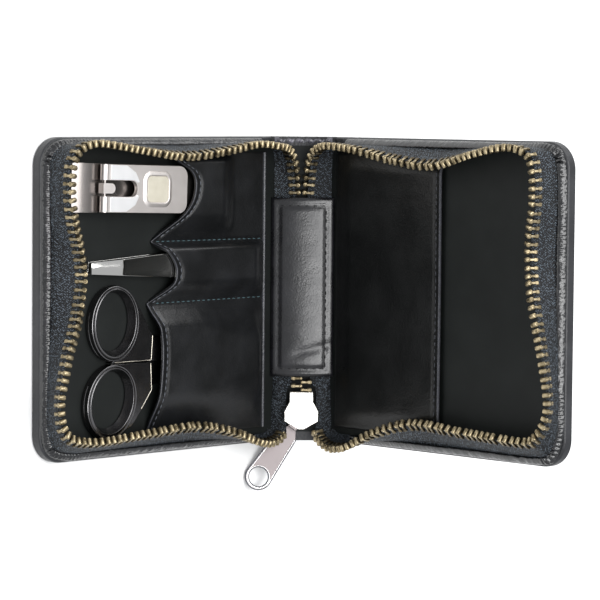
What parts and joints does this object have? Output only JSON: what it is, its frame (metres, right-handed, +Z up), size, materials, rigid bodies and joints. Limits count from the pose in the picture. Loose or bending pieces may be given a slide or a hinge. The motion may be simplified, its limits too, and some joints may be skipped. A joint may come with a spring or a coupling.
{
  "type": "manicure set case",
  "caption": "Zip-round leather manicure case, half open, with scalloped pockets holding a nail clipper, tweezers and nail scissors; both covers fold and the tools slide and work.",
  "frame": {"origin": "centre of the left cover's flat underside, which the case lies on", "axes": "+Z up, +X from the left cover toward the spine, +Y along the spine away from the zip slider"},
  "size_m": [0.1226, 0.1194, 0.1236],
  "materials": {
    "black_leather": "smooth black leather, satin",
    "lining_cloth": "matte synthetic suede",
    "board": "pressed paper board",
    "padding": "thin open-cell foam",
    "zip_tape": "herringbone woven tape",
    "zip_metal": "antique brass, rubbed heads",
    "nickel": "polished nickel",
    "puller_metal": "satin nickel",
    "clipper_steel": "polished nickel-plated steel",
    "lever_steel": "satin-plated steel",
    "tool_steel": "polished stainless steel",
    "label_plate": "plain cream enamel"
  },
  "bodies": {
    "left_cover": {"left_cover_leather": "black_leather", "left_board": "board", "left_padding": "padding", "left_lining": "lining_cloth", "left_zip_tape": "zip_tape", "left_zip_teeth": "zip_metal", "tool_pocket": "black_leather"},
    "spine": {"spine_leather": "black_leather", "spine_lining": "lining_cloth", "left_fold_leather": "black_leather", "right_fold_leather": "black_leather", "left_fold_lining": "lining_cloth", "right_fold_lining": "lining_cloth", "patch_stay": "board", "zip_end_patch": "black_leather", "left_tape_ends": "zip_tape", "right_tape_ends": "zip_tape", "left_end_teeth": "zip_metal", "right_end_teeth": "zip_metal", "closed_teeth": "zip_metal", "closed_tape": "zip_tape"},
    "right_cover": {"right_cover_leather": "black_leather", "right_board": "board", "right_padding": "padding", "right_lining": "lining_cloth", "right_zip_tape": "zip_tape", "right_zip_teeth": "zip_metal", "card_pocket": "black_leather"},
    "slider": {"slider_body": "nickel", "slider_crown": "nickel"},
    "puller": {"puller": "puller_metal"},
    "clipper": {"clipper_lower_leaf": "clipper_steel", "clipper_upper_leaf": "clipper_steel", "clipper_post": "clipper_steel", "clipper_fulcrum_pin": "clipper_steel", "clipper_rivet": "clipper_steel"},
    "clipper_lever": {"clipper_lever": "lever_steel", "clipper_label": "label_plate"},
    "tweezers": {"tweezer_lower_leg": "tool_steel"},
    "tweezers_leg": {"tweezer_upper_leg": "tool_steel"},
    "scissors": {"scissors_lower_half": "tool_steel", "scissors_screw": "tool_steel"},
    "scissors_upper": {"scissors_upper_half": "tool_steel"}
  },
  "joints": [
    {"name": "left_fold", "type": "hinge", "parent": "left_cover", "child": "spine", "pos_m": [0.052, 0, 0.0015], "axis": [0, 1, 0], "range_deg": [-43.5, 45], "deforming": ["left_zip_tape", "left_zip_teeth", "left_fold_leather", "left_fold_lining", "left_tape_ends", "left_end_teeth", "zip_end_patch"]},
    {"name": "right_fold", "type": "hinge", "parent": "spine", "child": "right_cover", "pos_m": [0.0672, 0, 0.0167], "axis": [0, 1, 0], "range_deg": [-43.5, 45], "deforming": ["right_zip_tape", "right_zip_teeth", "right_fold_leather", "right_fold_lining", "right_tape_ends", "right_end_teeth"]},
    {"name": "slider_slide", "type": "slide", "parent": "spine", "child": "slider", "axis": [0, 1, 0], "range_m": [0, 0.0025], "deforming": ["closed_teeth", "closed_tape"]},
    {"name": "puller_swing", "type": "hinge", "parent": "slider", "child": "puller", "pos_m": [0.05787, -0.04275, 0.01083], "axis": [-0.7071, 0, 0.7071], "range_deg": [0, 70]},
    {"name": "clipper_slide", "type": "slide", "parent": "left_cover", "child": "clipper", "axis": [-0.9996, 0.0297, 0], "range_m": [0, 0.0045]},
    {"name": "lever_lift", "type": "hinge", "parent": "clipper", "child": "clipper_lever", "pos_m": [-0.03141, 0.03547, 0.0109], "axis": [-0.0297, -0.9996, 0], "range_deg": [0, 60]},
    {"name": "tweezers_slide", "type": "slide", "parent": "left_cover", "child": "tweezers", "axis": [-1, 0, 0], "range_m": [0, 0.006]},
    {"name": "tweezers_squeeze", "type": "hinge", "parent": "tweezers", "child": "tweezers_leg", "pos_m": [0.0385, 0.01, 0.00515], "axis": [0, -1, 0], "range_deg": [0, 2.2], "stiffness_Nm_per_rad": 3},
    {"name": "scissors_slide", "type": "slide", "parent": "left_cover", "child": "scissors", "axis": [-1, 0, 0], "range_m": [0, 0.008]},
    {"name": "scissors_open", "type": "hinge", "parent": "scissors", "child": "scissors_upper", "pos_m": [0.015, -0.021, 0.0057], "axis": [0, 0, -1], "range_deg": [0, 3.5]}
  ]
}
